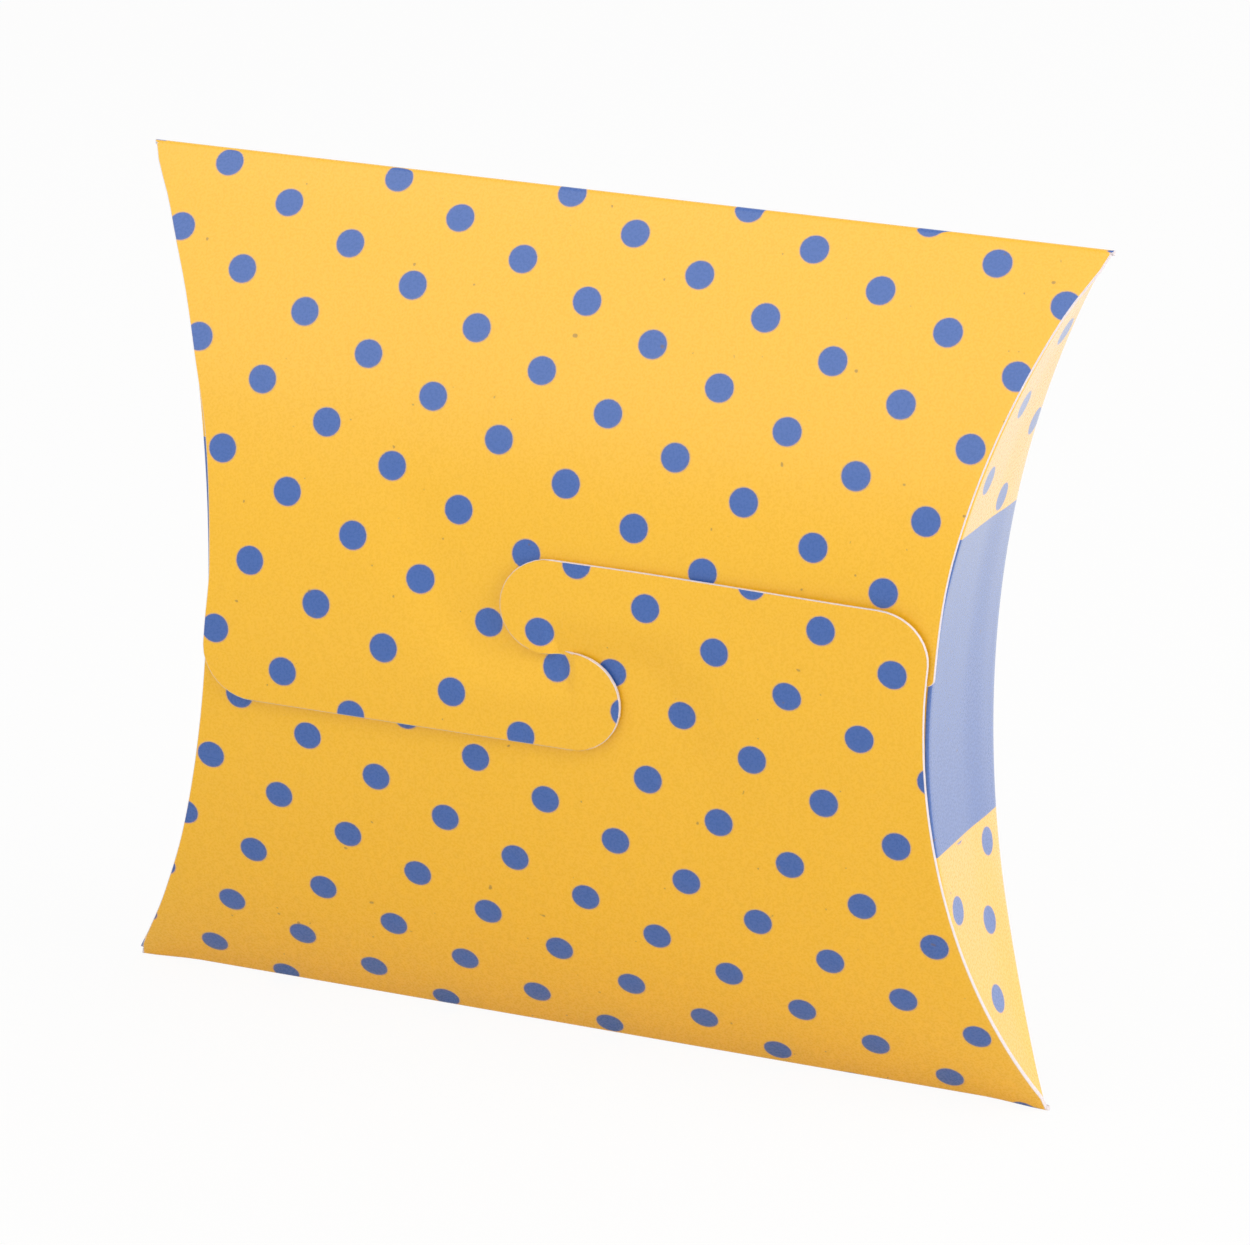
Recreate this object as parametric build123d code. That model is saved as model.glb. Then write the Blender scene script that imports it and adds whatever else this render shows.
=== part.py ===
"""Pillow box folded from one card blank and closed on the front by an S-shaped slot lock.

X runs along the straight creases, the front faces -Y and +Z is up. The box stands on its lower crease.
Its back is an arc, its ends are the same arc turned through a right angle, and each end meets the back
in a crease that lies in a plane at 45 degrees. The front is two flaps, hinged on the straight creases,
whose hooked tongues pass through each other's slits.
"""
from build123d import *
from math import atan2, degrees, sqrt
import os

# Box as a whole
box_width = 100.0
box_height = 88.2
back_bulge = 12.0

# Fuller bow of the flaps: the crown's radius against the back's, and how much of the height it takes
crown_radius_share = 1.03
crown_reach_share = 2 / 3

# Card and folds
card = 0.5
fold_radius = 0.6
crease_gap = 0.1

# Slot lock, measured from its centre
lock_offset = 0.6
hook_radius = 5.0
hook_reach = 1.5
slit_width = 1.8
slit_clearance = 0.1
lap_gap = 0.3
neck_gap = 0.2
tongue_corner = 5.3
flap_corner = 0.9

# Flap edges
flap_inset = 0.2
corner_relief = 0.8

# Ends and tuck tabs
tip_trim = 2.0
tab_gap = 0.5
tab_depth = 15.0
tab_margin = 9.0
tab_slope = 11.0
tab_corner = 5.0

# Overrun of every cutting solid
overrun = 20.0

mid = box_height / 2
half_width = box_width / 2
fold_height = mid - fold_radius
lift = card + lap_gap
flap_bulge = back_bulge + tab_gap + card
tongue_reach = 2 * hook_radius

# Arc of the back: its outer face runs round both fold strips
bow_radius = (back_bulge**2 + fold_height**2 - fold_radius**2) / (2 * (back_bulge - fold_radius))
bow_centre = back_bulge - bow_radius
bow_angle = degrees(atan2(fold_height, -bow_centre))

# Crown of the flaps, and the tighter shoulder arc between the crown and the fold strip
crown_radius = bow_radius * crown_radius_share
crown_reach = fold_height * crown_reach_share
crown_centre = crown_radius - flap_bulge
crown_sine = crown_reach / crown_radius
crown_cosine = sqrt(1 - crown_sine**2)
crown_angle = degrees(atan2(crown_sine, crown_cosine))
shoulder_y = crown_centre - crown_radius * crown_cosine
shoulder_z = crown_reach
fold_step_z = fold_height - shoulder_z
shoulder_radius = (shoulder_y**2 + fold_step_z**2 - fold_radius**2) / (
    2 * (-crown_cosine * shoulder_y - crown_sine * fold_step_z - fold_radius)
)
shoulder_centre_y = shoulder_y + shoulder_radius * crown_cosine
shoulder_centre_z = shoulder_z - shoulder_radius * crown_sine
shoulder_angle = degrees(atan2(fold_height - shoulder_centre_z, shoulder_centre_y))


def band(centre_y, centre_z, outer, inner, start, end):
    """Strip of card in the side view, between two arcs about one centre."""
    sweep = end - start
    outside = CenterArc((centre_y, centre_z), outer, start, sweep)
    inside = CenterArc((centre_y, centre_z), inner, start, sweep)
    return make_face([outside, Line(outside @ 1, inside @ 1), inside, Line(inside @ 0, outside @ 0)])


def along_x(face):
    """Pulls a side-view face out across the whole width, about the box's middle height."""
    return extrude(Pos(0, 0, mid) * (Plane.YZ * face), amount=half_width, both=True)


def along_y(face):
    """Pulls a front-view face through the whole depth, about the box's middle height."""
    depth = back_bulge + flap_bulge + overrun
    return extrude(Pos(0, 0, mid) * (Plane.XZ * face), amount=depth, both=True)


def front_rectangle(x_low, x_high, z_low, z_high):
    """Rectangle in the front view, from its four edges."""
    place = Pos((x_low + x_high) / 2, (z_low + z_high) / 2)
    return place * Rectangle(x_high - x_low, z_high - z_low)


def end_disc(side, inset):
    """Disc whose near edge is the curved end of the box, moved inwards by an inset."""
    return Pos(side * (half_width - inset - bow_centre), 0) * Circle(bow_radius)


def crease_solid(front, shrink):
    """Elliptical cylinder that halves the corner between the right end and the back or front."""
    side = -1 if front else 1
    plane = Plane(origin=(half_width, 0, mid), x_dir=(-1, side, 0), z_dir=(1, side, 0))
    ellipse = Pos(sqrt(2) * bow_centre - shrink, 0) * Ellipse(sqrt(2) * bow_radius, bow_radius)
    return extrude(plane * ellipse, amount=box_width, both=True)


def make_back_panel():
    """The bowed back, cut at both ends along the curved creases."""
    sheet = along_x(band(bow_centre, 0, bow_radius, bow_radius - card, -bow_angle, bow_angle))
    right = crease_solid(front=False, shrink=0)
    return sheet - right - mirror(right, about=Plane.YZ)


def make_fold():
    """The bent strip of card along the top crease, tangent to the back and to the flap."""
    return along_x(
        band(0, fold_height, fold_radius, fold_radius - card, bow_angle, 180 - shoulder_angle)
    )


def crown_band(outer, start, end):
    """Strip of the crown below its top, between two heights measured down from the box's middle."""
    turn = [180 + degrees(atan2(depth, sqrt(outer**2 - depth**2))) for depth in (start, end)]
    return band(crown_centre, 0, outer, outer - card, *turn)


def crown_point(outer, depth):
    """Point of the crown at a depth below the box's middle, in the side view."""
    return (crown_centre - sqrt(outer**2 - depth**2), -depth)


def flap_outline(lock_x):
    """Front view of the flap down to the slot lock: full height on the tongue's side, short beside it."""
    edge = half_width - corner_relief
    neck = lock_x - neck_gap / 2
    tongue_side = front_rectangle(-edge, neck, 0, mid)
    short_side = front_rectangle(neck, edge, slit_width, mid) - end_disc(1, flap_inset)
    corner = short_side.vertices().sort_by(Axis.Y)[:2].sort_by(Axis.X)[-1]
    return tongue_side - end_disc(-1, flap_inset) + fillet(corner, flap_corner)


def tongue_outline(lock_x):
    """Front view of the tongue beyond the box's middle height, without its hook."""
    edge = half_width - corner_relief
    tongue = front_rectangle(-edge, lock_x - neck_gap / 2, -tongue_reach, 0)
    tongue = tongue - end_disc(-1, flap_inset)
    corner = tongue.vertices().sort_by(Axis.Y)[:2].sort_by(Axis.X)[0]
    return fillet(corner, tongue_corner)


def hook_outline(lock_x):
    """Front view of the hook: the tongue's round end, as tall as the tongue reaches."""
    neck = lock_x - neck_gap / 2
    centre_x = lock_x + hook_reach
    middle = front_rectangle(neck, centre_x, -tongue_reach, 0)
    round_end = Pos(centre_x, -hook_radius) * Circle(hook_radius)
    return middle + (round_end & front_rectangle(centre_x, centre_x + tongue_reach, -tongue_reach, 0))


def make_flap(lock_x):
    """The upper flap: shoulder, crown, and a step in the slit up to the tongue that laps outside."""
    shoulder = band(
        shoulder_centre_y,
        shoulder_centre_z,
        shoulder_radius,
        shoulder_radius - card,
        180 - shoulder_angle,
        180 - crown_angle,
    )
    crown = crown_band(crown_radius, -crown_reach, 0)
    flap = (along_x(shoulder) + along_x(crown)) & along_y(flap_outline(lock_x))
    step_depth = slit_width - slit_clearance
    raised = crown_radius + lift
    step = make_face(
        Polyline(
            crown_point(crown_radius, 0),
            crown_point(raised, step_depth),
            crown_point(raised - card, step_depth),
            crown_point(crown_radius - card, 0),
            close=True,
        )
    )
    tongue = crown_band(raised, step_depth, tongue_reach + card)
    lap = (along_x(step) + along_x(tongue)) & along_y(tongue_outline(lock_x))
    return flap + lap


def make_hook(lock_x):
    """The hook of the upper flap, level with its tongue and outside the lower flap."""
    sheet = along_x(crown_band(crown_radius + lift, -card, tongue_reach + card))
    return sheet & along_y(hook_outline(lock_x))


def make_end_panel():
    """The hollow right end: the arc of the back turned sideways, between its two curved creases."""
    ring = Pos(half_width - bow_centre, 0) * (Circle(bow_radius + card) - Circle(bow_radius))
    height = front_rectangle(0, half_width, tip_trim - mid, mid - tip_trim)
    panel = along_y(ring & height)
    return panel & crease_solid(front=False, shrink=crease_gap) & crease_solid(front=True, shrink=crease_gap)


def make_tuck_tab():
    """The tab of the right end, bowed like the back and tucked behind the flaps."""
    sheet = along_x(band(-bow_centre, 0, bow_radius, bow_radius - card, 180 - bow_angle, 180 + bow_angle))
    free_x = half_width - back_bulge - tab_depth
    root_z = mid - tab_margin
    free_z = root_z - tab_slope
    outline = make_face(
        Polyline(
            (half_width, root_z),
            (half_width, -root_z),
            (free_x, -free_z),
            (free_x, free_z),
            close=True,
        )
    )
    outline = fillet(outline.vertices().group_by(Axis.X)[0], tab_corner)
    return (sheet & along_y(outline)) - crease_solid(front=True, shrink=0)


def turned(shape):
    """The same piece half a turn about the box's front-to-back axis: the lower flap from the upper."""
    return Pos(0, 0, mid) * Rot(0, 180, 0) * Pos(0, 0, -mid) * shape


def mirrored(shape):
    """The left-hand copy of a right-hand piece."""
    return mirror(shape, about=Plane.YZ)


def centred(shape):
    """The finished piece as one solid, with the origin under the middle of the box's depth."""
    return Pos(0, (flap_bulge + lift - back_bulge) / 2, 0) * shape.solid()


top_fold = make_fold()
right_end_panel = make_end_panel()
right_tuck_tab = make_tuck_tab()

nodes = {
    "back_panel": make_back_panel(),
    "top_fold": top_fold,
    "bottom_fold": turned(top_fold),
    "upper_flap": make_flap(lock_offset),
    "upper_hook": make_hook(lock_offset),
    "lower_flap": turned(make_flap(-lock_offset)),
    "lower_hook": turned(make_hook(-lock_offset)),
    "right_end_panel": right_end_panel,
    "right_tuck_tab": right_tuck_tab,
    "left_end_panel": mirrored(right_end_panel),
    "left_tuck_tab": mirrored(right_tuck_tab),
}

os.makedirs("parts", exist_ok=True)
for name, shape in nodes.items():
    export_step(centred(shape), f"parts/{name}.step")
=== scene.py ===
from math import asin, atan2, ceil, cos, pi, radians, sin, sqrt, tan

import bmesh
import bpy
from mathutils import Euler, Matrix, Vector


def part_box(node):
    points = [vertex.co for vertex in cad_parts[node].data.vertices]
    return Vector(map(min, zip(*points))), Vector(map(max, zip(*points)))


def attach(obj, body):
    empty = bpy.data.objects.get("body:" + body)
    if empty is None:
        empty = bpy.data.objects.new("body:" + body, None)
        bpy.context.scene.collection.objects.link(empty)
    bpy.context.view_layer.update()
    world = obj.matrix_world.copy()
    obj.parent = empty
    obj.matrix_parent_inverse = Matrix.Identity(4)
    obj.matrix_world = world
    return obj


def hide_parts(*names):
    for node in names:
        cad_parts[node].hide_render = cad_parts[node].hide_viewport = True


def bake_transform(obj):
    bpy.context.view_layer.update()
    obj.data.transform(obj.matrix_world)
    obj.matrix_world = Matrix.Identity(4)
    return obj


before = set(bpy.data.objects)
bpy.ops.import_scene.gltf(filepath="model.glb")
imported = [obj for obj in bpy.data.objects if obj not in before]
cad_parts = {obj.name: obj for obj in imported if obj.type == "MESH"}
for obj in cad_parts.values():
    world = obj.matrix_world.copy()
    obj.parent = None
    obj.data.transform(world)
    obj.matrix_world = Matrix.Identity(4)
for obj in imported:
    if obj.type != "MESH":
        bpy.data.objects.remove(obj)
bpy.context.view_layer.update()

MM = 0.001

# Sizes that the frame gives
crease_low, crease_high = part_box("top_fold")
back_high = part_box("back_panel")[1]
box_width = crease_high[0] - crease_low[0]
box_height = crease_high[2]
half_width = box_width / 2
mid = box_height / 2

# Sizes of the card, its folds, the slot lock and the tabs
card = 0.5 * MM
lap_gap = 0.3 * MM
fold_radius = 0.6 * MM
curved_fold_radius = 0.35 * MM
curved_fold_share = 0.35
back_bulge = 12.0 * MM
tab_gap = 0.5 * MM
crown_radius_share = 1.03
crown_reach_share = 2 / 3
slit_width = 1.8 * MM
neck_gap = 0.2 * MM
lock_offset = 0.6 * MM
hook_reach = 1.5 * MM
hook_radius = 5.0 * MM
tongue_corner = 5.3 * MM
flap_corner = 0.9 * MM
flap_inset = 0.2 * MM
corner_relief = 0.3 * MM
tip_trim = 1.0 * MM
tab_depth = 15.0 * MM
tab_margin = 9.0 * MM
tab_slope = 11.0 * MM
tab_corner = 5.0 * MM

# Places that follow from them
fold_y = back_high[1] - back_bulge
fold_height = mid - fold_radius
lift = card + lap_gap
flap_bulge = back_bulge + tab_gap + card
tongue_reach = 2 * hook_radius
bow_radius = (back_bulge**2 + fold_height**2 - fold_radius**2) / (2 * (back_bulge - fold_radius))
bow_centre = back_bulge - bow_radius
bow_angle = atan2(fold_height, -bow_centre)
crown_radius = bow_radius * crown_radius_share
crown_reach = fold_height * crown_reach_share
crown_centre = crown_radius - flap_bulge
crown_angle = asin(crown_reach / crown_radius)
shoulder_y = crown_centre - crown_radius * cos(crown_angle)
shoulder_drop = fold_height - crown_reach
shoulder_radius = (shoulder_y**2 + shoulder_drop**2 - fold_radius**2) / (
    2 * (-cos(crown_angle) * shoulder_y - sin(crown_angle) * shoulder_drop - fold_radius)
)
shoulder_centre_y = shoulder_y + shoulder_radius * cos(crown_angle)
shoulder_centre_z = crown_reach - shoulder_radius * sin(crown_angle)
shoulder_angle = atan2(fold_height - shoulder_centre_z, shoulder_centre_y)
half_back = bow_radius * bow_angle + fold_radius * (pi / 2 - bow_angle)
short_edge = half_width - corner_relief

# Print on the blank: a square lattice of round dots, turned against the edges, and a blue block
dot_spacing = 8.16 * MM
dot_radius = 1.45 * MM
dot_turn = radians(24.86)
dot_across = -11.69 * MM
dot_along = -15.37 * MM
printed_back = 92.2 * MM
block_middle = 48.0 * MM
block_height = 32.2 * MM
block_margin = 0.35 * MM

# Edges of the print: their blur, how ragged they are, and the lilac fringe round a dot
print_blur = 0.06 * MM
print_ragged = 0.12 * MM
fringe_width = 0.09 * MM
fringe_blur = 0.12 * MM

# Colours of the inks, the board and the floor, as they are written on a screen
dark_yellow = (246, 188, 34)
light_yellow = (252, 194, 44)
cloud_yellow = (249, 191, 38)
lilac_fringe = (205, 150, 160)
dark_blue = (54, 94, 168)
light_blue = (68, 107, 180)
speck_brown = (120, 90, 60)
dark_inside = (226, 222, 214)
light_inside = (244, 242, 236)
dark_core = (214, 200, 200)
light_core = (244, 236, 238)
floor_white = (235, 233, 230)

# Grain of the printed face: sizes of its patterns, strengths and gloss
grain_size = 0.25 * MM
cloud_size = 9.0 * MM
speck_size = 0.7 * MM
speck_edge = 0.865
speck_blur = 0.02
speck_strength = 0.6
fringe_strength = 0.55
smoothest = 0.25
grain_roughness = 0.05
fine_size = 0.3 * MM
fine_share = 0.1
wave_size = 6.0 * MM
wave_share = 2.0
face_depth = 0.02 * MM
coat_weight = 0.7
coat_roughness = 0.15

# Fibre of the bare inside and of the cut core: its size and depth
inside_fibre = 0.5 * MM
inside_depth = 0.04 * MM
core_fibre = 0.15 * MM
core_depth = 0.05 * MM

# Drift of the print on the ends, from where the lattice would carry it
end_print_across = 1.3 * MM
end_print_stretch = 0.13
end_print_lean = 0.035
end_print_along = 1.95 * MM
end_print_slope = 0.05

# Drift of the upper flap's print: on its tongue, and in the middle near the crease
upper_tongue_across = 0.2 * MM
upper_tongue_along = 0.15 * MM
upper_crease_across = 0.1 * MM
upper_crease_along = 0.24 * MM
upper_print_middle = -5.0 * MM

# Where each of them sets in: a start, and a length beyond it at which it is whole
upper_tongue_fade = (0.0 * MM, -7.0 * MM)
upper_side_fade = (-25.0 * MM, -15.0 * MM)
upper_crease_fade = (20.0 * MM, 12.0 * MM)
upper_middle_fade = (25.0 * MM, 20.0 * MM)

# Drift of the lower flap's print: everywhere, on its tongue, near the base and towards one side
lower_across = 0.3 * MM
lower_base_across = 0.12 * MM
lower_tongue_across = 0.15 * MM
lower_tip_across = 0.35 * MM
lower_tongue_along = 0.45 * MM
lower_tip_along = 0.2 * MM
lower_base_along = 0.08 * MM
lower_base_slope = 0.0045

# Where each of them sets in
lower_across_fade = (12.0 * MM, 15.0 * MM)
lower_tip_fade = (-8.0 * MM, -22.0 * MM)
lower_root_fade = (1.0 * MM, -4.0 * MM)
lower_tongue_fade = (5.0 * MM, -12.0 * MM)
lower_side_fade = (-12.0 * MM, -15.0 * MM)
lower_slit_fade = (3.0 * MM, -6.0 * MM)
lower_slope_fade = (8.0 * MM, 10.0 * MM)

# Settling of the card: the base arches between its corners, and the back's curved creases stand out
base_rise = 0.35 * MM
arch_end = 43.0 * MM
settle_height = 28.0 * MM
back_crease_out = 0.2 * MM
crease_out_start = 28.0 * MM
crease_out_fade = 8.0 * MM
crease_out_end = 1.5 * MM

# Lower left corner: the end stands out near the base, the flap's raw edge about half as far
corner_out = 0.85 * MM
corner_out_start = 9.0 * MM
corner_out_fade = 8.0 * MM
corner_follow_share = 0.53

# How far each tongue's root and tip are pushed towards their own crease in the lock, and how the
# lower tongue springs off
upper_push = (0.75 * MM, 0.75 * MM)
lower_push = (-0.3 * MM, 0.25 * MM)
push_spread = 6.0 * MM
tongue_lean = 0.3 * MM
tongue_spring = 0.9
spring_near = 5.0 * MM
spring_spread = 30.0 * MM

# Gentle climb of a flap onto the other: where it starts, and how far from the hooks it is whole
climb_height = 20.0 * MM
climb_low = 0.5 * MM
climb_over = 5.0 * MM
climb_near = 8.0 * MM
climb_hook = 2.0 * MM
climb_spread = 14.0 * MM

# Raw side edges of the flaps, measured in from the curved end's own line
flare_fade = (38.0 * MM, 5.0 * MM)
upper_left_flare = 0.5 * MM
upper_left_in = 0.3 * MM
upper_left_above = 0.35 * MM
upper_right_flare = 0.4 * MM
upper_right_in = 0.04 * MM
upper_right_over = 0.49 * MM
lower_left_in = 0.2 * MM
lower_left_over = 0.5 * MM
lower_right_in = 0.15 * MM
lower_right_slope = 0.019

# Where each of them sets in
upper_left_fade = (38.0 * MM, -8.0 * MM)
above_tongue_fade = (26.0 * MM, -10.0 * MM)
tongue_root_fade = (-4.0 * MM, 8.0 * MM)
upper_right_fade = (15.5 * MM, -14.5 * MM)
lower_left_fade = (26.0 * MM, 16.0 * MM)

# How finely the panels are divided, and how near two places count as one
row_step = 1.5 * MM
nearest_rows = 0.06 * MM
edge_round = 0.07 * MM
back_columns = 20
crease_columns = 60
crease_rows = 12
tongue_columns = 36
short_columns = 30
hook_columns = 24
end_columns = 24
round_columns = 6
tab_columns = 8
hook_steps = 18
tongue_corner_steps = 10
corner_steps = 6
below_slit_steps = 6
slit_steps = 3
sharp_angle = radians(20)
same_place = 0.01 * MM
same_share = 0.01


def smooth(share):
    """Eases from 0 to 1 without a corner at either end."""
    share = min(1.0, max(0.0, share))
    return share * share * (3 - 2 * share)


def eased(place, start, length):
    """Eases from 0 at a start to 1 at a length beyond it, which may be negative."""
    return smooth((place - start) / length)


def straight(place, start, length):
    """Runs straight from 0 at a start to 1 at a length beyond it, which may be negative."""
    return min(1.0, max(0.0, (place - start) / length))


def settled(point):
    """Point of the box as the card has settled: its base arches and its back creases stand out."""
    reach = abs(point.x)
    low = 1 - eased(point.z, 0, settle_height)
    up = base_rise * low * (1 - eased(reach, arch_end, half_width - arch_end))
    out = back_crease_out * (1 + low) * eased(point.y, fold_y, crease_out_fade)
    out *= eased(reach, crease_out_start, crease_out_fade)
    out *= eased(reach, half_width, -crease_out_end)
    return point + Vector((out if point.x > 0 else -out, 0, up))


def bulge(height):
    """How far the back bows out, and each end bows in, at a height from the box's middle."""
    return bow_centre + sqrt(bow_radius**2 - height**2)


def bow_slope(height):
    """Slope of the bow at a height from the box's middle."""
    return height / sqrt(bow_radius**2 - height**2)


def crease_round(height):
    """Radius of a curved crease, which tightens towards the box's corners."""
    return min(curved_fold_radius, curved_fold_share * bulge(height))


def place(x, y, height):
    """Point of the box from its crease plane and its middle height."""
    return Vector((x, y + fold_y, mid + height))


def printed_along(height):
    """Distance down the printed back from the top crease."""
    turn = asin(height / bow_radius)
    return printed_back / 2 * (1 - bow_radius * turn / half_back)


def drifted(flat, along, share=1.0):
    """Print at a distance from the blank's centre line, drifted more and more towards the ends."""
    reach = abs(flat)
    beyond = max(reach, half_width - back_bulge) - half_width
    share *= smooth(reach / (half_width - back_bulge))
    across = end_print_across + end_print_stretch * beyond
    across -= end_print_lean * (along - printed_back / 2)
    down = end_print_along + end_print_slope * beyond
    return (reach - share * across) * (1 if flat > 0 else -1), along + share * down


def on_back(x, height):
    """Back of the box: place, outward direction and place on the blank."""
    turn = asin(height / bow_radius)
    printed = drifted(x, printed_along(height))
    return place(x, bulge(height), height), Vector((0, cos(turn), sin(turn))), printed


def upper_drift(x, height):
    """How far the upper flap's print lies off the lattice, across and along."""
    on_tongue = straight(height, *upper_tongue_fade)
    off_middle = eased(abs(x - upper_print_middle), *upper_middle_fade)
    near_crease = eased(height, *upper_crease_fade) * (1 - off_middle)
    across = upper_tongue_across * eased(x, *upper_side_fade) * on_tongue
    across -= upper_crease_across * near_crease
    return across, upper_tongue_along * on_tongue + upper_crease_along * near_crease


def lower_drift(x, height):
    """How far the lower flap's print lies off the lattice, in the flap's own directions."""
    tip_across = lower_tip_across * eased(x, *lower_tip_fade)
    across = lower_across - lower_base_across * eased(height, *lower_across_fade)
    across -= (lower_tongue_across + tip_across) * straight(height, *lower_root_fade)
    along = lower_tongue_along * straight(height, *lower_tongue_fade)
    along += lower_tip_along * eased(x, *lower_side_fade) * straight(height, *lower_slit_fade)
    along += base_rise * eased(height, mid - settle_height, settle_height)
    along += (lower_base_along - lower_base_slope * x) * eased(height, *lower_slope_fade)
    return across, -along


def on_crease(drift):
    """Crease strip by its angle round the fold, from back to front, with its flap's print."""

    def surface(x, turn):
        if turn < pi / 2:
            reach = bow_radius * bow_angle + fold_radius * (turn - bow_angle)
            along = printed_back / 2 * (1 - reach / half_back)
        else:
            along = -fold_radius * (turn - pi / 2)
        spot = place(x, fold_radius * cos(turn), fold_height + fold_radius * sin(turn))
        share = smooth((pi - shoulder_angle - turn) / (pi - shoulder_angle - bow_angle))
        flat, down = drifted(x, along, share)
        across, further = drift(x, fold_height)
        printed = (flat + across * (1 - share), down + further * (1 - share))
        return spot, Vector((0, cos(turn), sin(turn))), printed

    return surface


def flap_bow(height):
    """Upper flap at a height: its depth, its face's lean and the distance from the top crease."""
    start = fold_radius * (pi / 2 - shoulder_angle)
    if height > crown_reach:
        turn = asin((height - shoulder_centre_z) / shoulder_radius)
        depth = shoulder_centre_y - shoulder_radius * cos(turn)
        return depth, turn, start + shoulder_radius * (shoulder_angle - turn)
    turn = asin(height / crown_radius)
    start += shoulder_radius * (shoulder_angle - crown_angle)
    along = start + crown_radius * (crown_angle - turn)
    return crown_centre - crown_radius * cos(turn), turn, along


def on_flap(neck, drift, push, spring, hook=False):
    """Surface of a flap and its tongue, which climb over the other flap towards the slit."""

    def surface(x, height):
        tip = -height / tongue_reach
        free = eased(x, neck - spring_near, -spring_spread) * spring
        if tip > 0:
            height += push[0] + (push[1] + free * tongue_lean - push[0]) * tip
        else:
            height += push[0] * eased(height, push_spread, -push_spread)
        depth, turn, along = flap_bow(height)
        outward = Vector((0, -cos(turn), sin(turn)))
        start = climb_low + climb_height * eased(x, neck - climb_near, -climb_spread)
        rise = 0
        if hook or x < neck + same_place:
            rise = lift * eased(height, start, -start - climb_over)
        if hook:
            rise = max(rise, lift * eased(x, neck, climb_hook))
        if tip > 0:
            rise += free * tongue_spring * height**2 / (2 * crown_radius)
        across, further = drift(x, height)
        return place(x, depth, height) + outward * rise, outward, (x + across, further - along)

    return surface


def on_end(across, height):
    """Right end with the round of both its creases: 0 to 1, 1 to 2 and 2 to 3 across."""
    depth = bulge(height)
    bend = crease_round(height)
    centre_x = half_width - depth - bend
    lean = bow_slope(height)
    if across < 1:
        turn = across * pi / 2
        outward = Vector((sin(turn), cos(turn), lean * (cos(turn) - sin(turn))))
        spot = (centre_x + bend * sin(turn), depth - bend + bend * cos(turn))
        flat = centre_x + 2 * bend * across
    elif across <= 2:
        outward = Vector((1, 0, -lean))
        spot = (centre_x + bend, (depth - bend) * (3 - 2 * across))
        flat = half_width - spot[1]
    else:
        turn = (across - 2) * pi / 2
        outward = Vector((cos(turn), -sin(turn), -lean * (cos(turn) - sin(turn))))
        spot = (centre_x + bend * cos(turn), bend - depth - bend * sin(turn))
        flat = half_width + depth - bend + 2 * bend * (across - 2)
    return place(*spot, height), outward.normalized(), drifted(flat, printed_along(height))


def base_corner_out(height):
    """How far the left end's front crease stands out, by the distance below the box's middle."""
    return corner_out * eased(height, mid - corner_out_start, corner_out_fade)


def on_left_end(across, height):
    """Left end before it is mirrored, with its front crease standing out near the base."""
    spot, outward, printed = on_end(across, height)
    out = base_corner_out(-height) * smooth(across - 1)
    return spot + Vector((out, 0, 0)), outward, printed


def on_tab(x, height):
    """Right tuck tab behind the flaps."""
    turn = asin(height / bow_radius)
    outward = Vector((0, -cos(turn), sin(turn)))
    return place(x, -bulge(height), height), outward, drifted(box_width - x, printed_along(height))


def heights(low, high, *needed):
    """Heights from one to another, evenly spaced apart from some that have to be among them."""
    count = ceil((high - low) / row_step)
    rows = []
    for height in [low, high, *needed, *[low + (high - low) * i / count for i in range(count + 1)]]:
        if all(abs(height - row) > nearest_rows for row in rows):
            rows.append(height)
    return sorted(rows)


def turned_heights(centre, radius, start, end, count):
    """Heights of evenly turned points on an arc."""
    return [centre + radius * sin(start + (end - start) * i / count) for i in range(count + 1)]


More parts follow.
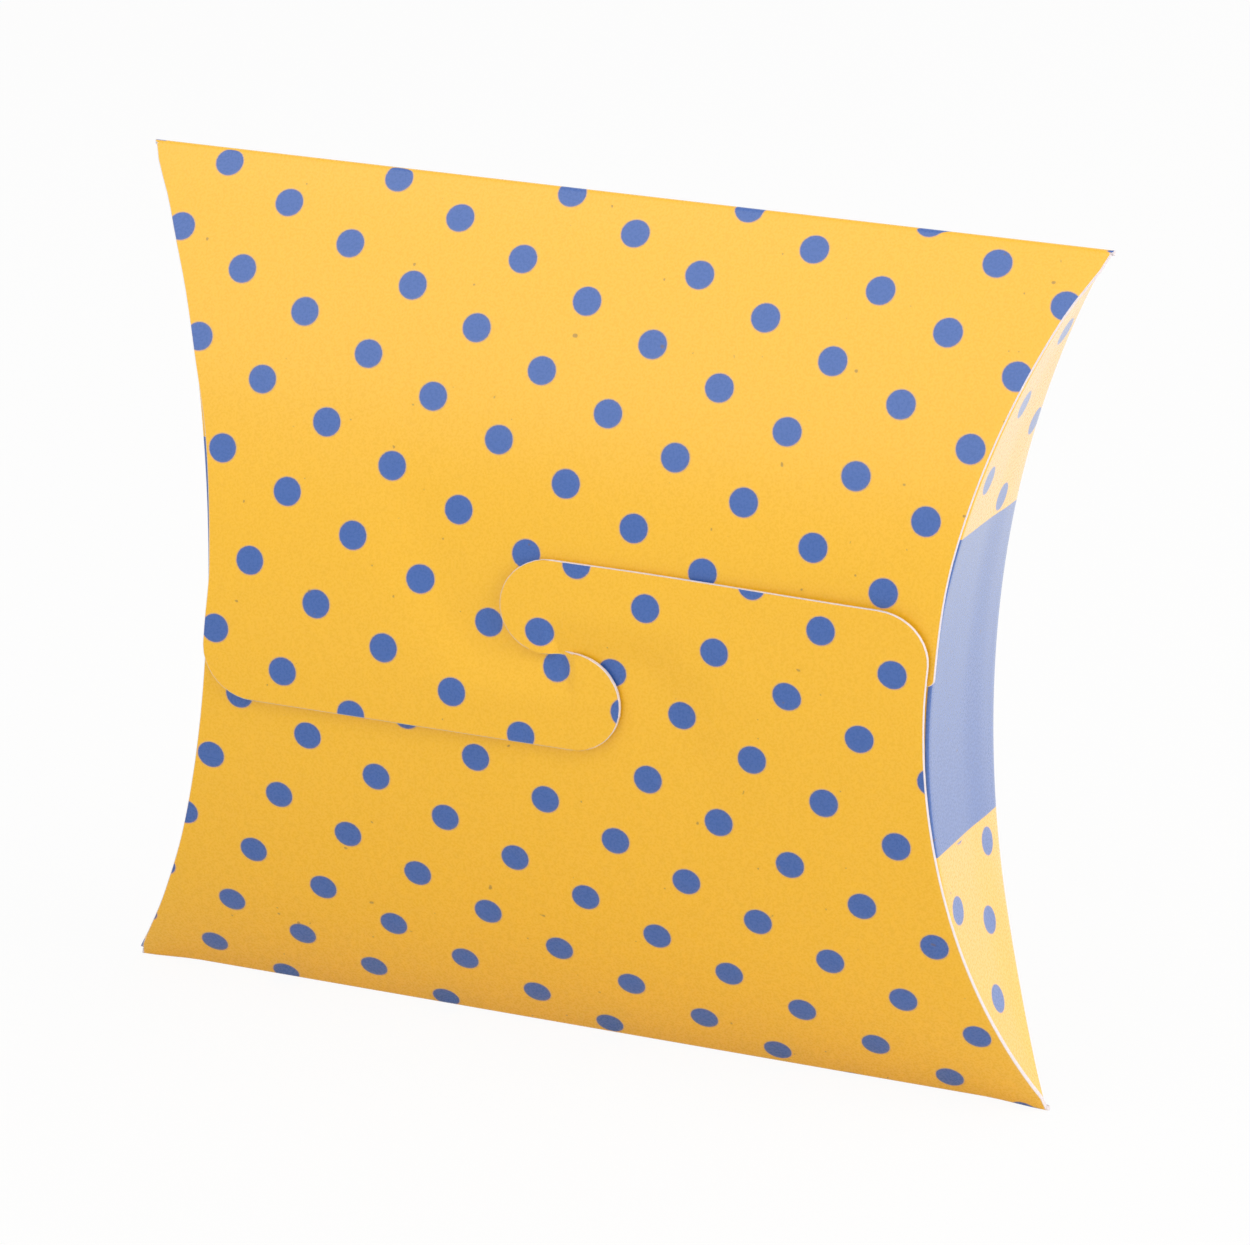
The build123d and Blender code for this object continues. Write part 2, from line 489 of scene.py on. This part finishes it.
class Panel:
    """One panel of the card: its printed face, its bare inside and the rim between them."""

    def __init__(self, surface):
        self.surface = surface
        self.numbers = {}
        self.spots = []
        self.where = []
        self.quads = []

    def number(self, across, along):
        """Number of the point at a place on the surface, shared where two patches meet."""
        key = (round(across / MM, 4), round(along / MM, 4))
        if key not in self.numbers:
            self.numbers[key] = len(self.spots)
            self.spots.append(self.surface(across, along))
            self.where.append((across, along))
        return self.numbers[key]

    def patch(self, rows, left, right, columns):
        """Adds the faces between two side edges, row by row upwards."""
        grid = []
        for along in rows:
            low, high = left(along), right(along)
            line = [low + (high - low) * i / columns for i in range(columns + 1)]
            grid.append([self.number(across, along) for across in line])
        for lower, upper in zip(grid, grid[1:]):
            for i in range(len(lower) - 1):
                self.quads.append((lower[i], lower[i + 1], upper[i + 1], upper[i]))

    def finish(self, name, joined, turned=False, mirrored=False, front=None):
        """Gives the panel its thickness, rounds its cut edges and turns it to its place."""
        mesh = bpy.data.meshes.new(name)
        shell = bmesh.new()
        blank = shell.loops.layers.uv.new("blank")
        outer, inner, flat = [], [], {}
        for spot, outward, printed in self.spots:
            points = [spot, spot - outward * card]
            if turned:
                points = [Vector((-p.x, p.y, 2 * mid - p.z)) for p in points]
                printed = (-printed[0], printed_back - printed[1])
            if mirrored:
                points = [Vector((-p.x, p.y, p.z)) for p in points]
                printed = (-printed[0], printed[1])
            points = [settled(p) for p in points]
            outer.append(shell.verts.new(points[0]))
            inner.append(shell.verts.new(points[1]))
            flat[outer[-1]] = flat[inner[-1]] = printed
        rim = {}
        for quad in self.quads:
            face = shell.faces.new([outer[i] for i in quad])
            face.material_index = 0
            face = shell.faces.new([inner[i] for i in reversed(quad)])
            face.material_index = 1
            for a, b in zip(quad, quad[1:] + quad[:1]):
                if (b, a) in rim:
                    del rim[(b, a)]
                else:
                    rim[(a, b)] = True
        cut = []
        for a, b in rim:
            face = shell.faces.new([outer[b], outer[a], inner[a], inner[b]])
            face.material_index = 2
            if not (joined(*self.where[a]) and joined(*self.where[b])):
                cut.append(shell.edges.get((outer[a], outer[b])))
                cut.append(shell.edges.get((inner[a], inner[b])))
        bmesh.ops.recalc_face_normals(shell, faces=shell.faces)
        for face in shell.faces:
            face.smooth = True
            for loop in face.loops:
                loop[blank].uv = flat[loop.vert]
        if cut:
            bmesh.ops.bevel(
                shell, geom=cut, offset=edge_round, segments=2, profile=0.5,
                affect="EDGES", clamp_overlap=False, material=2,
            )
        shell.to_mesh(mesh)
        shell.free()
        mesh.set_sharp_from_angle(angle=sharp_angle)
        piece = bpy.data.objects.new(name, mesh)
        bpy.context.collection.objects.link(piece)
        for finish in (front or printed_face, bare_inside, cut_edge):
            mesh.materials.append(finish)
        return piece


class Value:
    """A number that varies over the card: Python's operators on it add the Math nodes."""

    def __init__(self, finish, socket):
        self.finish = finish
        self.socket = socket

    def math(self, operation, *values):
        node = self.finish.node("ShaderNodeMath", {"operation": operation}, dict(enumerate(values)))
        return Value(self.finish, node.outputs[0])

    def __add__(self, other):
        return self.math("ADD", self, other)

    def __sub__(self, other):
        return self.math("SUBTRACT", self, other)

    def __rsub__(self, other):
        return self.math("SUBTRACT", other, self)

    def __mul__(self, other):
        return self.math("MULTIPLY", self, other)

    def __truediv__(self, other):
        return self.math("DIVIDE", self, other)

    def __abs__(self):
        return self.math("ABSOLUTE", self)

    def root(self):
        return self.math("SQRT", self)

    def from_whole(self):
        """Distance from the nearest whole number."""
        return self.math("PINGPONG", self, 0.5)

    def bigger(self, other):
        return self.math("MAXIMUM", self, other)

    def above(self, edge, blur):
        """1 where the value is above an edge and 0 below it, over a short blur."""
        ramp = (self - edge) / blur + 0.5
        ramp.socket.node.use_clamp = True
        return ramp


class Finish:
    """One finish of the card, with the nodes that are added to it."""

    def __init__(self, name, **shader):
        self.material = bpy.data.materials.new(name)
        self.material.use_nodes = True
        self.tree = self.material.node_tree
        self.shader = self.tree.nodes["Principled BSDF"]
        self.fill(self.shader, shader)

    def fill(self, node, values):
        """Sets or links the sockets of a node."""
        for key, value in values.items():
            socket = node.inputs[key]
            if isinstance(value, Value):
                self.tree.links.new(value.socket, socket)
            elif isinstance(value, bpy.types.NodeSocket):
                self.tree.links.new(value, socket)
            else:
                socket.default_value = value

    def node(self, kind, settings, values):
        """Adds a node: its settings first, then the values or links of its sockets."""
        node = self.tree.nodes.new(kind)
        for key, value in settings.items():
            setattr(node, key, value)
        self.fill(node, values)
        return node

    def noise(self, size, detail=2.0):
        """Cloudy pattern on the object, of a given grain size, about 0.5."""
        coordinates = self.node("ShaderNodeTexCoord", {}, {})
        values = {"Vector": coordinates.outputs["Object"], "Scale": 1 / size, "Detail": detail}
        return Value(self, self.node("ShaderNodeTexNoise", {}, values).outputs["Fac"])

    def mix(self, factor, first, second):
        """Blend of two colours."""
        settings = {"data_type": "RGBA"}
        return self.node("ShaderNodeMix", settings, {0: factor, 6: first, 7: second}).outputs[2]

    def bump(self, height, depth):
        """Small relief of the surface, linked to the shader."""
        values = {"Height": height, "Strength": 1.0, "Distance": depth}
        self.fill(self.shader, {"Normal": self.node("ShaderNodeBump", {}, values).outputs[0]})


def ink(colour):
    """Colour as it is written on the screen, made linear."""
    parts = [c / 255 for c in colour]
    return tuple(c / 12.92 if c < 0.04045 else ((c + 0.055) / 1.055) ** 2.4 for c in parts) + (1.0,)


# Card's finishes: printed face, bare inside and cut rim
def make_printed_face(name, block):
    """Coated board printed yellow with blue dots, and on the ends with a blue block."""
    face = Finish(name, IOR=1.55)
    blank = face.node("ShaderNodeUVMap", {"uv_map": "blank"}, {})
    split = face.node("ShaderNodeSeparateXYZ", {}, {0: blank.outputs[0]})
    across = Value(face, split.outputs[0])
    along = Value(face, split.outputs[1])

    # Rows and columns of the lattice, counted from one dot
    x = (across - dot_across) / dot_spacing
    y = (along - dot_along) / dot_spacing
    row = (x * cos(dot_turn) - y * sin(dot_turn)).from_whole()
    column = (x * sin(dot_turn) + y * cos(dot_turn)).from_whole()
    ragged = (face.noise(print_ragged) - 0.5) * print_ragged
    from_dot = (row * row + column * column).root() * dot_spacing + ragged
    dot = 1 - from_dot.above(dot_radius, print_blur)
    fringe = 1 - from_dot.above(dot_radius + fringe_width, fringe_blur)

    blue = dot
    if block:
        off_middle = abs(along - block_middle)
        block_face = 1 - off_middle.above(block_height / 2, print_blur)
        clear = off_middle.above(block_height / 2 + block_margin, print_blur)
        blue = (dot * clear).bigger(block_face)

    grain = face.noise(grain_size, detail=3.0)
    cloud = face.noise(cloud_size)
    yellow = face.mix(grain, ink(dark_yellow), ink(light_yellow))
    yellow = face.mix(cloud, yellow, ink(cloud_yellow))
    lilac = face.mix((fringe - dot) * fringe_strength, yellow, ink(lilac_fringe))
    print_blue = face.mix(grain, ink(dark_blue), ink(light_blue))
    printed = face.mix(blue, lilac, print_blue)
    specks = face.noise(speck_size, detail=0.0).above(speck_edge, speck_blur)
    speckled = face.mix(specks * speck_strength, printed, ink(speck_brown))
    face.fill(face.shader, {"Base Color": speckled})
    face.fill(face.shader, {"Roughness": grain * grain_roughness + smoothest})
    fine = face.noise(fine_size, detail=3.0) * fine_share
    face.bump(fine + face.noise(wave_size) * wave_share, face_depth)
    if block:
        face.fill(face.shader, {"Coat Weight": coat_weight, "Coat Roughness": coat_roughness})
    return face.material


def make_bare_inside():
    """Uncoated white inside of the board, with a faint fibre."""
    face = Finish("bare_inside", Roughness=0.85)
    fibre = face.noise(inside_fibre, detail=4.0)
    face.fill(face.shader, {"Base Color": face.mix(fibre, ink(dark_inside), ink(light_inside))})
    face.bump(fibre, inside_depth)
    return face.material


def make_cut_edge():
    """White core of the board where a blade has cut it."""
    face = Finish("cut_edge", Roughness=0.9)
    fibre = face.noise(core_fibre, detail=4.0)
    face.fill(face.shader, {"Base Color": face.mix(fibre, ink(dark_core), ink(light_core))})
    face.bump(fibre, core_depth)
    return face.material


printed_face = make_printed_face("printed_face", False)
end_face = make_printed_face("end_face", True)
bare_inside = make_bare_inside()
cut_edge = make_cut_edge()


# Panels of the card
def flap_edge(height, inset):
    """Raw side edge of a flap at a height, measured in from the curved end's own line."""
    return min(short_edge, half_width - bulge(height) - inset)


def flare(height):
    """Share of the flare at the upper flap's corners, near the crease."""
    return eased(height, *flare_fade)


def upper_right_inset(height):
    """The upper flap's edge beside the lock, which overhangs the curved end near the slit."""
    over = upper_right_over * eased(height, *upper_right_fade)
    return upper_right_in - over - upper_right_flare * flare(height)


def upper_left_inset(height):
    """The upper flap's edge on its tongue's side, a little further in above the tongue."""
    above = eased(height, *above_tongue_fade) * eased(height, *tongue_root_fade)
    inset = flap_inset + upper_left_in * eased(height, *upper_left_fade)
    return inset + upper_left_above * above - upper_left_flare * flare(height)


def lower_right_inset(height):
    """The lower flap's edge on its tongue's side, which overhangs the curved end near the base."""
    return lower_right_in - lower_right_slope * max(0.0, height)


def lower_left_inset(height):
    """The lower flap's edge beside the lock, which overhangs the curved end near the base."""
    inset = flap_inset + lower_left_in - lower_left_over * eased(height, *lower_left_fade)
    return inset - corner_follow_share * base_corner_out(height)


def short_side_edge(inset):
    """Raw edge beside the tongue, with its small round corner over the slit."""
    start = slit_width + flap_corner

    def edge(height):
        if height >= start:
            return flap_edge(height, inset(height))
        round_off = flap_corner - sqrt(max(0.0, flap_corner**2 - (start - height) ** 2))
        return flap_edge(start, inset(start)) - round_off

    return edge


def tongue_edge(inset):
    """Raw side edge on the tongue's side, with the tongue's round corner."""
    start = tongue_corner - tongue_reach

    def edge(height):
        if height >= start:
            return -flap_edge(height, inset(height))
        round_off = tongue_corner - sqrt(max(0.0, tongue_corner**2 - (start - height) ** 2))
        return round_off - flap_edge(start, inset(start))

    return edge


# Heights that a flap's rows have to meet: round corners, hooks and the climb beside the slit
flap_top = shoulder_centre_z + shoulder_radius * sin(shoulder_angle)
hook_heights = turned_heights(-hook_radius, hook_radius, -pi / 2, pi / 2, hook_steps)
tongue_heights = turned_heights(
    tongue_corner - tongue_reach, tongue_corner, -pi / 2, 0, tongue_corner_steps
)
corner_heights = turned_heights(slit_width + flap_corner, flap_corner, -pi / 2, 0, corner_steps)
below_slit_heights = [-slit_width * i / below_slit_steps for i in range(1, below_slit_steps)]
slit_heights = [slit_width * i / slit_steps for i in range(slit_steps + 1)]


def make_flap(name, lock, turned, drift, push, spring, tongue_side, short_side):
    """A flap: full width above the slit, a tongue below it on one side."""
    neck = lock - neck_gap / 2
    flap = Panel(on_flap(neck, drift, push, spring))
    left, right = tongue_edge(tongue_side), short_side_edge(short_side)
    upper_rows = heights(slit_width, flap_top, *corner_heights)
    lower_rows = heights(-tongue_reach, 0, *tongue_heights, *below_slit_heights)
    for rows in (lower_rows, slit_heights, upper_rows):
        flap.patch(rows, left, lambda h: neck, tongue_columns)
    flap.patch(upper_rows, lambda h: neck, right, short_columns)

    def joined(x, height):
        at_neck = abs(x - neck) < same_place and height < same_place
        return height > flap_top - same_place or at_neck

    return flap.finish(name, joined, turned=turned)


def make_hook(name, lock, turned, drift, push):
    """The round end of a tongue."""
    neck = lock - neck_gap / 2
    centre = lock + hook_reach

    def round_end(height):
        return centre + sqrt(max(0.0, hook_radius**2 - (height + hook_radius) ** 2))

    hook = Panel(on_flap(neck, drift, push, 0, hook=True))
    rows = heights(-tongue_reach, 0, *hook_heights, *below_slit_heights)
    hook.patch(rows, lambda h: neck, round_end, hook_columns)
    return hook.finish(name, lambda x, height: abs(x - neck) < same_place, turned=turned)


# Where the ends and the back stop, and how far the straight creases' tips are rounded
end_height = mid - tip_trim
crease_tip = 0.4 * MM
back_top = bow_radius * sin(bow_angle)


def back_edge(height):
    """Side edge of the back, where the round of the curved crease starts."""
    return half_width - bulge(height) - crease_round(height)


def make_back():
    """The bowed back between its four creases."""
    back = Panel(on_back)
    rows = heights(-back_top, back_top, -end_height, end_height)
    back.patch(rows, lambda h: -back_edge(h), back_edge, back_columns)
    return back.finish("back_card", lambda x, height: True)


def make_crease(name, turned, drift):
    """The bent strip of card along a straight crease, with a small round tip at each end."""
    strip = Panel(on_crease(drift))
    first, last = bow_angle, pi - shoulder_angle
    turns = [first + (last - first) * i / crease_rows for i in range(crease_rows + 1)]

    def tip(turn):
        off_middle = 2 * (turn - first) / (last - first) - 1
        return half_width - crease_tip * (1 - sqrt(max(0.0, 1 - off_middle**2)))

    strip.patch(turns, lambda t: -tip(t), tip, crease_columns)

    def joined(x, turn):
        beside_panel = turn < first + same_share or turn > last - same_share
        return abs(x) < half_width - 2 * crease_tip or beside_panel

    return strip.finish(name, joined, turned=turned)


def make_end(name, mirrored):
    """A curved end with the round of the creases on both its sides."""
    end = Panel(on_left_end if mirrored else on_end)
    rows = heights(-end_height, end_height)
    for start, columns in enumerate((round_columns, end_columns, round_columns)):
        end.patch(rows, lambda h: start, lambda h: start + 1, columns)

    def joined(across, height):
        return across < same_share or (across > 3 - same_share and abs(height) < tab_root)

    return end.finish(name, joined, mirrored=mirrored, front=end_face)


# Outline of a tuck tab: a free edge, round corners and sloping sides
tab_free = half_width - back_bulge - tab_depth
tab_shoulder = mid - tab_margin - tab_slope
tab_lean = (half_width - tab_free) / tab_slope
tab_turn = pi / 2 - atan2(tab_slope, half_width - tab_free)
tab_corner_height = tab_shoulder - tab_corner * tan(tab_turn / 2)
tab_corner_end = tab_corner_height + tab_corner * sin(tab_turn)


def tab_edge(height):
    """Free edge of a tuck tab at a height."""
    reach = abs(height)
    if reach < tab_corner_height:
        return tab_free
    if reach < tab_corner_end:
        return tab_free + tab_corner - sqrt(tab_corner**2 - (reach - tab_corner_height) ** 2)
    return tab_free + (reach - tab_shoulder) * tab_lean


# Half the length of a tab's root, found by steps down its sloping side
root_left = 0.3 * MM
root_step = 0.02 * MM
tab_root = tab_corner_end
while tab_edge(tab_root) < back_edge(tab_root) - root_left:
    tab_root += root_step


def make_tab(name, mirrored):
    """A tab tucked behind the flaps."""
    tab = Panel(on_tab)
    corner = turned_heights(tab_corner_height, tab_corner, 0, tab_turn, corner_steps)
    rows = heights(-tab_root, tab_root, *corner, *[-h for h in corner])
    tab.patch(rows, tab_edge, back_edge, tab_columns)

    def joined(x, height):
        return x > back_edge(height) - same_place

    return tab.finish(name, joined, mirrored=mirrored)


back_card = make_back()
top_crease = make_crease("top_crease_card", False, upper_drift)
base_crease = make_crease("base_crease_card", True, lower_drift)
upper_flap = make_flap(
    "upper_flap_card", lock_offset, False, upper_drift, upper_push,
    spring=0, tongue_side=upper_left_inset, short_side=upper_right_inset,
)
lower_flap = make_flap(
    "lower_flap_card", -lock_offset, True, lower_drift, lower_push,
    spring=1, tongue_side=lower_right_inset, short_side=lower_left_inset,
)
upper_hook = make_hook("upper_hook_card", lock_offset, False, upper_drift, upper_push)
lower_hook = make_hook("lower_hook_card", -lock_offset, True, lower_drift, lower_push)
right_end = make_end("right_end_card", False)
left_end = make_end("left_end_card", True)
right_tab = make_tab("right_tab_card", False)
left_tab = make_tab("left_tab_card", True)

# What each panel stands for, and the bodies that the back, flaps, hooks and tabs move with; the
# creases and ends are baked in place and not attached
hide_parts("back_panel")
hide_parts("top_fold")
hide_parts("bottom_fold")
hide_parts("upper_flap")
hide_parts("lower_flap")
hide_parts("upper_hook")
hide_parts("lower_hook")
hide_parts("right_end_panel")
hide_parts("left_end_panel")
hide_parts("right_tuck_tab")
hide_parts("left_tuck_tab")
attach(back_card, "back")
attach(upper_flap, "upper_flap")
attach(lower_flap, "lower_flap")
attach(upper_hook, "upper_flap")
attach(lower_hook, "lower_flap")
crease_reach = 0.5 * MM
creases = ((top_crease, "upper_flap", box_height), (base_crease, "lower_flap", 0.0))
for crease, body, height in creases:
    start = (0, fold_y + crease_reach, height)
    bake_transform(crease)
bend_reach = 6.0 * MM
for end, tab, name, side in ((right_end, right_tab, "right", 1), (left_end, left_tab, "left", -1)):
    start = Vector((side * (half_width - back_bulge), fold_y + back_bulge, mid))
    start + Vector((-side, -1, 0)) * bend_reach
    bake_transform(end)
    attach(tab, f"{name}_tab")

# Camera, as the photograph was taken: fitted to the box's edges and the dots
camera = bpy.data.objects.new("camera", bpy.data.cameras.new("camera"))
camera.data.lens = 136.13
camera.data.clip_start = 0.01
camera.location = (0.148525, -0.430815, 0.182822)
camera.rotation_euler = Euler([radians(a) for a in (73.0909, -2.5716, 19.4554)])
bpy.context.collection.objects.link(camera)
bpy.context.scene.camera = camera
bpy.context.scene.view_settings.view_transform = "Standard"


def soft_lamp(name, spot, aim, size, power):
    """Large soft lamp turned towards a point."""
    lamp = bpy.data.objects.new(name, bpy.data.lights.new(name, "AREA"))
    lamp.data.size = size
    lamp.data.energy = power
    lamp.location = spot
    lamp.rotation_euler = (Vector(aim) - Vector(spot)).to_track_quat("-Z", "Y").to_euler()
    bpy.context.collection.objects.link(lamp)


soft_lamp("key", spot=(-0.35, -0.85, 0.75), aim=(0, 0, 0.04), size=1.2, power=5.5)
soft_lamp("side", spot=(0.9, -0.1, 0.5), aim=(0.04, 0, 0.04), size=0.9, power=7.1)
soft_lamp("behind", spot=(0.5, 1.0, 0.6), aim=(0, 0, 0.04), size=1.2, power=3.0)
soft_lamp("top", spot=(-0.3, -0.2, 0.9), aim=(0, 0, 0.08), size=0.5, power=0.4)

# Plain pale floor, which glows white where the camera meets it. Where a reflection meets it, away
# from the box, the glow is a painted reflection, and its lack near the box is painted shade
floor_half = 3
floor_glow = 0.93
painted_front_glow = 0.6
behind_start = 20 * MM
before_start = 110 * MM
glow_fade = 80 * MM
corners = [(x * floor_half, y * floor_half, 0) for x, y in ((-1, -1), (1, -1), (1, 1), (-1, 1))]
floor_mesh = bpy.data.meshes.new("floor")
floor_mesh.from_pydata(corners, [], [(0, 1, 2, 3)])
floor = bpy.data.objects.new("floor", floor_mesh)
bpy.context.collection.objects.link(floor)
ground = Finish("floor", Roughness=0.9)
ground.fill(ground.shader, {"Base Color": ink(floor_white)})
ray = ground.node("ShaderNodeLightPath", {}, {})
glow = ground.node("ShaderNodeEmission", {}, {"Strength": 1.0})
seen = Value(ground, ray.outputs["Is Camera Ray"]) * floor_glow
floor_spot = ground.node("ShaderNodeTexCoord", {}, {})
floor_split = ground.node("ShaderNodeSeparateXYZ", {}, {0: floor_spot.outputs["Object"]})
depth = Value(ground, floor_split.outputs[1])
# Painted reflection: reflections see the glow whole from behind_start behind the box, and weaker
# beyond before_start in front. Near the box they see none, which paints shade into what the box
# mirrors
behind = depth.above(behind_start, glow_fade)
before = (0 - depth).above(before_start, glow_fade) * painted_front_glow
painted_reflection = Value(ground, ray.outputs["Is Glossy Ray"]) * behind.bigger(before)
looks = {0: seen.bigger(painted_reflection), 1: ground.shader.outputs[0], 2: glow.outputs[0]}
shown = ground.node("ShaderNodeMixShader", {}, looks)
ground.fill(ground.tree.nodes["Material Output"], {"Surface": shown.outputs[0]})
floor_mesh.materials.append(ground.material)

# Surround: white to the camera and in reflections, dimmer as a light
daylight_strength = 0.44
surround = bpy.data.worlds.new("surround")
surround.use_nodes = True
bpy.context.scene.world = surround
sky = surround.node_tree
path = sky.nodes.new("ShaderNodeLightPath")
mirrored_or_seen = sky.nodes.new("ShaderNodeMath")
mirrored_or_seen.operation = "MAXIMUM"
sky.links.new(path.outputs["Is Camera Ray"], mirrored_or_seen.inputs[0])
sky.links.new(path.outputs["Is Glossy Ray"], mirrored_or_seen.inputs[1])
white = sky.nodes.new("ShaderNodeBackground")
white.inputs["Color"].default_value = (1, 1, 1, 1)
daylight = sky.nodes["Background"]
daylight.inputs["Color"].default_value = (1, 1, 1, 1)
daylight.inputs["Strength"].default_value = daylight_strength
both = sky.nodes.new("ShaderNodeMixShader")
sky.links.new(mirrored_or_seen.outputs[0], both.inputs[0])
sky.links.new(daylight.outputs[0], both.inputs[1])
sky.links.new(white.outputs[0], both.inputs[2])
sky.links.new(both.outputs[0], sky.nodes["World Output"].inputs[0])
